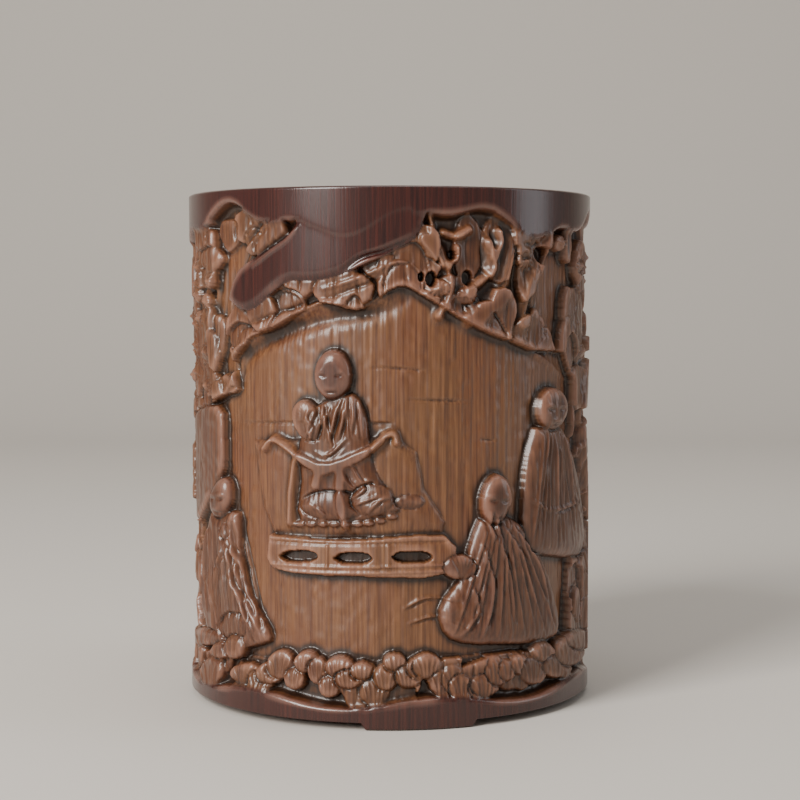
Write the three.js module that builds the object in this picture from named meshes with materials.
// Carved bamboo brush pot. Millimetres, +Z up, origin at the bottom centre, front at -Y.
import * as THREE from 'three';

// driving dimensions
const OUTER_R = 60;          // outer radius of the culm
const BORE_R = 50;           // bore radius
const HEIGHT = 148;          // overall height with the feet
const FOOT_H = 1.8;          // height of the three low feet
const FOOT_ARC = 29;         // degrees of arc of one foot
const FOOT_AT = [8, 128, 248]; // centres of the feet, degrees from the front towards +X
const LEDGE_R = 44;          // inner radius of the septum ring
const LEDGE_Z0 = 5;          // underside of the septum ring
const LEDGE_Z1 = 9;          // top of the septum ring
const RECESS_R = 51;         // radius of the recess under the septum ring
const EDGE = 0.7;            // broken edges
const DISC_R = 49.7;         // floor disc radius
const DISC_Z0 = 9.3;         // floor disc underside
const DISC_Z1 = 15.3;        // floor disc top
const GROUND = 4.2;          // depth of the carved ground
const ROWS = 30;             // rows up the carved outside

const rad = (d) => d * Math.PI / 180;
const wrap = (d) => ((d + 180) % 360 + 360) % 360 - 180;
const smooth = (a, b, x) => { const t = Math.min(1, Math.max(0, (x - a) / (b - a))); return t * t * (3 - 2 * t); };

// angular stations: every five degrees and both ends of each foot
const stations = [];
for (let d = 0; d < 360; d += 5) stations.push(d);
for (const c of FOOT_AT) {
  for (const s of [-1, 1]) {
    stations.push(((c + s * FOOT_ARC / 2) % 360 + 360) % 360);
    stations.push(((c + s * (FOOT_ARC / 2 + 1.1)) % 360 + 360) % 360);
  }
}
stations.sort((a, b) => a - b);
const cols = stations.filter((d, i) => i === 0 || d - stations[i - 1] > 0.35);

const footAt = (d) => FOOT_AT.some((c) => Math.abs(wrap(d - c)) < FOOT_ARC / 2 + 0.2);
const baseZ = (d) => (footAt(d) ? 0 : FOOT_H);

// coarse relief: [centre degrees, centre z, half width degrees, half height, rise above the ground]
const MASSES = [
  [-29, 75, 11, 30, 4.0],   // figure on the couch
  [-29, 43, 22, 9, 3.0],    // couch front
  [-27, 64, 24, 8, 2.0],    // couch seat
  [-78, 52, 16, 26, 3.6],   // standing figure
  [14, 38, 15, 22, 4.0],    // kneeling figure
  [46, 70, 15, 26, 3.6],    // seated figure in the hood
  [-60, 110, 30, 16, 4.2],  // rock canopy
  [-5, 118, 26, 14, 3.2],   // rock canopy
  [38, 114, 26, 20, 3.6],   // pine and rock
  [68, 50, 12, 40, 3.4],    // trunk and rocks at the right
  [-25, 16, 40, 9, 3.6],    // rocks at the bottom
  [30, 14, 34, 8, 3.4],     // rocks at the bottom
  [110, 95, 22, 34, 3.8],   // cliff
  [150, 45, 26, 26, 3.4],   // rocks
  [-150, 100, 26, 30, 3.6], // cliff
  [-120, 45, 22, 30, 3.4],  // rocks
  [180, 110, 18, 18, 3.0],  // cloud
];
function reliefDepth(d, z) {
  const rim = smooth(140, 131, z);
  const foot = smooth(7, 13, z);
  let rise = 0;
  for (const [c, zc, w, h, up] of MASSES) {
    const q = Math.pow(wrap(d - c) / w, 2) + Math.pow((z - zc) / h, 2);
    if (q < 1) rise = Math.max(rise, up * Math.sqrt(1 - q));
  }
  return Math.max(0, GROUND * rim * foot - rise * Math.min(rim, foot));
}

function profile(d) {
  const zb = baseZ(d);
  const p = [];
  p.push([OUTER_R - EDGE, HEIGHT]);
  p.push([OUTER_R, HEIGHT - EDGE]);
  for (let i = 1; i < ROWS; i++) {
    const z = HEIGHT - EDGE - (HEIGHT - EDGE - 4) * i / ROWS;
    p.push([OUTER_R - reliefDepth(d, z), z]);
  }
  p.push([OUTER_R, 4]);
  p.push([OUTER_R, zb + EDGE]);
  p.push([OUTER_R - EDGE, zb]);
  p.push([RECESS_R + EDGE, zb]);
  p.push([RECESS_R, zb + EDGE]);
  p.push([RECESS_R, LEDGE_Z0]);
  p.push([LEDGE_R + EDGE, LEDGE_Z0]);
  p.push([LEDGE_R, LEDGE_Z0 + EDGE]);
  p.push([LEDGE_R, LEDGE_Z1 - EDGE]);
  p.push([LEDGE_R + EDGE, LEDGE_Z1]);
  p.push([BORE_R, LEDGE_Z1]);
  p.push([BORE_R, HEIGHT - EDGE]);
  p.push([BORE_R + EDGE, HEIGHT]);
  return p;
}

function ringMesh(angles, prof, name, colour) {
  const pos = [];
  const idx = [];
  const m = prof(angles[0]).length;
  for (const d of angles) {
    for (const [r, z] of prof(d)) pos.push(r * Math.sin(rad(d)), -r * Math.cos(rad(d)), z);
  }
  const n = angles.length;
  for (let i = 0; i < n; i++) {
    const a = i * m;
    const b = ((i + 1) % n) * m;
    for (let j = 0; j < m; j++) {
      const k = (j + 1) % m;
      idx.push(a + j, a + k, b + k, a + j, b + k, b + j);
    }
  }
  return finish(pos, idx, name, colour);
}

function discMesh(name, colour) {
  const n = 64;
  const c = 0.6;
  const prof = [[DISC_R - c, DISC_Z1], [DISC_R, DISC_Z1 - c], [DISC_R, DISC_Z0 + c], [DISC_R - c, DISC_Z0]];
  const pos = [];
  const idx = [];
  for (let i = 0; i < n; i++) {
    const t = rad(360 * i / n);
    for (const [r, z] of prof) pos.push(r * Math.sin(t), -r * Math.cos(t), z);
  }
  const top = n * 4;
  pos.push(0, 0, DISC_Z1, 0, 0, DISC_Z0);
  for (let i = 0; i < n; i++) {
    const a = i * 4;
    const b = ((i + 1) % n) * 4;
    for (let j = 0; j < 3; j++) idx.push(a + j, a + j + 1, b + j + 1, a + j, b + j + 1, b + j);
    idx.push(top, a, b, top + 1, b + 3, a + 3);
  }
  return finish(pos, idx, name, colour);
}

function finish(pos, idx, name, colour) {
  // signed volume sets the winding so that every face looks out
  let vol = 0;
  const v = (i) => new THREE.Vector3(pos[3 * i], pos[3 * i + 1], pos[3 * i + 2]);
  for (let i = 0; i < idx.length; i += 3) vol += v(idx[i]).dot(v(idx[i + 1]).cross(v(idx[i + 2])));
  if (vol < 0) for (let i = 0; i < idx.length; i += 3) { const t = idx[i + 1]; idx[i + 1] = idx[i + 2]; idx[i + 2] = t; }
  const g = new THREE.BufferGeometry();
  g.setAttribute('position', new THREE.Float32BufferAttribute(pos, 3));
  g.setIndex(idx);
  g.computeVertexNormals();
  const mesh = new THREE.Mesh(g, new THREE.MeshStandardMaterial({ color: colour, roughness: 0.5, metalness: 0 }));
  mesh.name = name;
  return mesh;
}

const part = new THREE.Group();
part.name = 'brush_pot';
part.add(ringMesh(cols, profile, 'culm_wall', 0x6b3a22));
part.add(discMesh('floor_disc', 0x7a5230));

export default part;
